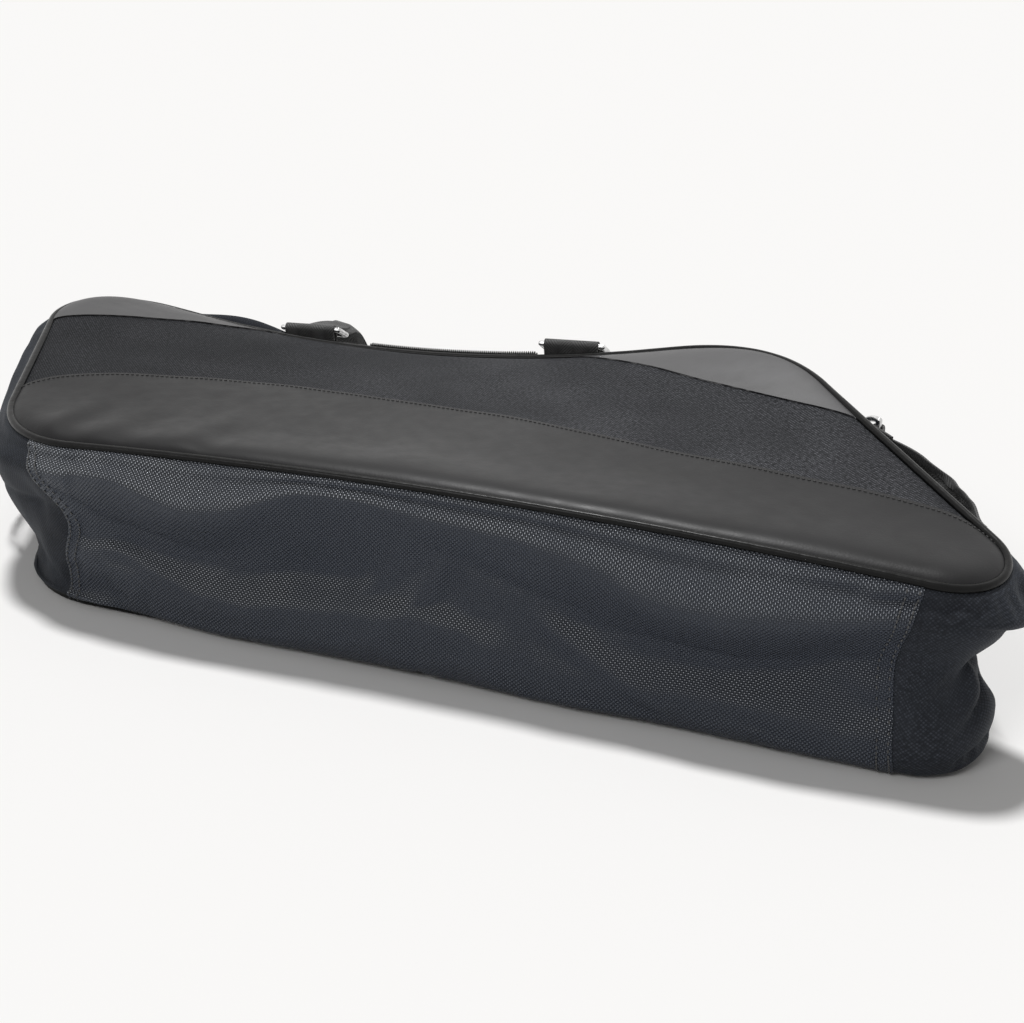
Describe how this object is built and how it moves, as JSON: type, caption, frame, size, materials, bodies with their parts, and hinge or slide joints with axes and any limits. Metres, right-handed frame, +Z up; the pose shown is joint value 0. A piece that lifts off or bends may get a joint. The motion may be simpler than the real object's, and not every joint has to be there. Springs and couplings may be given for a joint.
{
  "type": "duffel bag",
  "caption": "Soft duffel bag lying on its back panel, with piped front and back panels, zip in the top wall, handles on rings and a D-ring at each end.",
  "frame": {"origin": "middle of the outer face of the back panel, on the floor", "axes": "+X along the bag, +Y towards its top edge with the zip and handles, +Z up from the back panel to the front panel"},
  "size_m": [0.7098, 0.4896, 0.1467],
  "materials": {
    "nylon": "matte woven nylon, black",
    "coated_nylon": "coarse basket-weave coated nylon, black, slight sheen",
    "leather": "smooth synthetic leather, charcoal, satin",
    "piping": "vinyl piping over a cord, black",
    "webbing": "woven webbing, black",
    "binding": "woven binding tape, black",
    "zip_tape": "zip tape, black",
    "zip_coil": "moulded coil, black",
    "metal": "polished nickel plate"
  },
  "bodies": {
    "bag": {"back_corner_left": "leather", "back_corner_right": "leather", "back_lower_band": "leather", "back_panel_nylon": "nylon", "back_piping": "piping", "back_seam_binding": "binding", "bottom_panel": "coated_nylon", "end_gusset_left": "nylon", "end_gusset_right": "nylon", "end_strap_left": "webbing", "end_strap_right": "webbing", "front_corner_left": "leather", "front_corner_right": "leather", "front_lower_band": "leather", "front_panel_nylon": "nylon", "front_piping": "piping", "front_seam_binding": "binding", "handle_tab_back_left": "webbing", "handle_tab_back_right": "webbing", "handle_tab_front_left": "webbing", "handle_tab_front_right": "webbing", "zip_coil_back": "zip_coil", "zip_coil_front": "zip_coil", "zip_end_left": "nylon", "zip_end_right": "nylon", "zip_placket_back": "nylon", "zip_placket_front": "nylon", "zip_tape_back": "zip_tape", "zip_tape_front": "zip_tape"},
    "front_rings": {"handle_ring_front_left": "metal", "handle_ring_front_right": "metal"},
    "front_handle": {"handle_front": "webbing"},
    "back_rings": {"handle_ring_back_left": "metal", "handle_ring_back_right": "metal"},
    "back_handle": {"handle_back": "webbing"},
    "slider_left": {"zip_slider_left": "metal"},
    "puller_left": {"zip_puller_left": "metal"},
    "slider_right": {"zip_slider_right": "metal"},
    "puller_right": {"zip_puller_right": "metal"},
    "d_ring_left": {"d_ring_left": "metal"},
    "d_ring_right": {"d_ring_right": "metal"}
  },
  "joints": [
    {"name": "front_rings_pivot", "type": "hinge", "parent": "bag", "child": "front_rings", "pos_m": [-0.0495, 0.13778, 0.11732], "axis": [0.9976, 0, 0.0697], "range_deg": [0, 150]},
    {"name": "front_handle_swivel", "type": "hinge", "parent": "front_rings", "child": "front_handle", "pos_m": [-0.04902, 0.14997, 0.11044], "axis": [0.9976, 0, 0.0697], "range_deg": [0, 50]},
    {"name": "back_rings_pivot", "type": "hinge", "parent": "bag", "child": "back_rings", "pos_m": [-0.0495, 0.1421, 0.00418], "axis": [1, 0, 0], "range_deg": [0, 75]},
    {"name": "back_handle_swivel", "type": "hinge", "parent": "back_rings", "child": "back_handle", "pos_m": [-0.0495, 0.1561, 0.00418], "axis": [1, 0, 0], "range_deg": [0, 15]},
    {"name": "zip_slider_left_slide", "type": "slide", "parent": "bag", "child": "slider_left", "axis": [1, 0, 0], "range_m": [-0.1055, 0.0865]},
    {"name": "zip_puller_left_flip", "type": "hinge", "parent": "slider_left", "child": "puller_left", "pos_m": [-0.131, 0.137, 0.056], "axis": [0, 0, 1], "range_deg": [0, 175]},
    {"name": "zip_slider_right_slide", "type": "slide", "parent": "bag", "child": "slider_right", "axis": [-1, 0, 0], "range_m": [-0.0385, 0.0865]},
    {"name": "zip_puller_right_flip", "type": "hinge", "parent": "slider_right", "child": "puller_right", "pos_m": [0.057, 0.137, 0.056], "axis": [0, 0, -1], "range_deg": [0, 175]},
    {"name": "d_ring_left_swing", "type": "hinge", "parent": "bag", "child": "d_ring_left", "pos_m": [-0.32577, 0.03094, 0.057], "axis": [0, 0, 1], "range_deg": [0, 140]},
    {"name": "d_ring_right_swing", "type": "hinge", "parent": "bag", "child": "d_ring_right", "pos_m": [0.27748, 0.04845, 0.11], "axis": [0, 0, -1], "range_deg": [0, 140]}
  ],
  "couplings": [
    {"joint": "back_rings_pivot", "follows": "front_rings_pivot", "ratio": 0.5},
    {"joint": "back_handle_swivel", "follows": "front_handle_swivel", "ratio": 0.3}
  ]
}
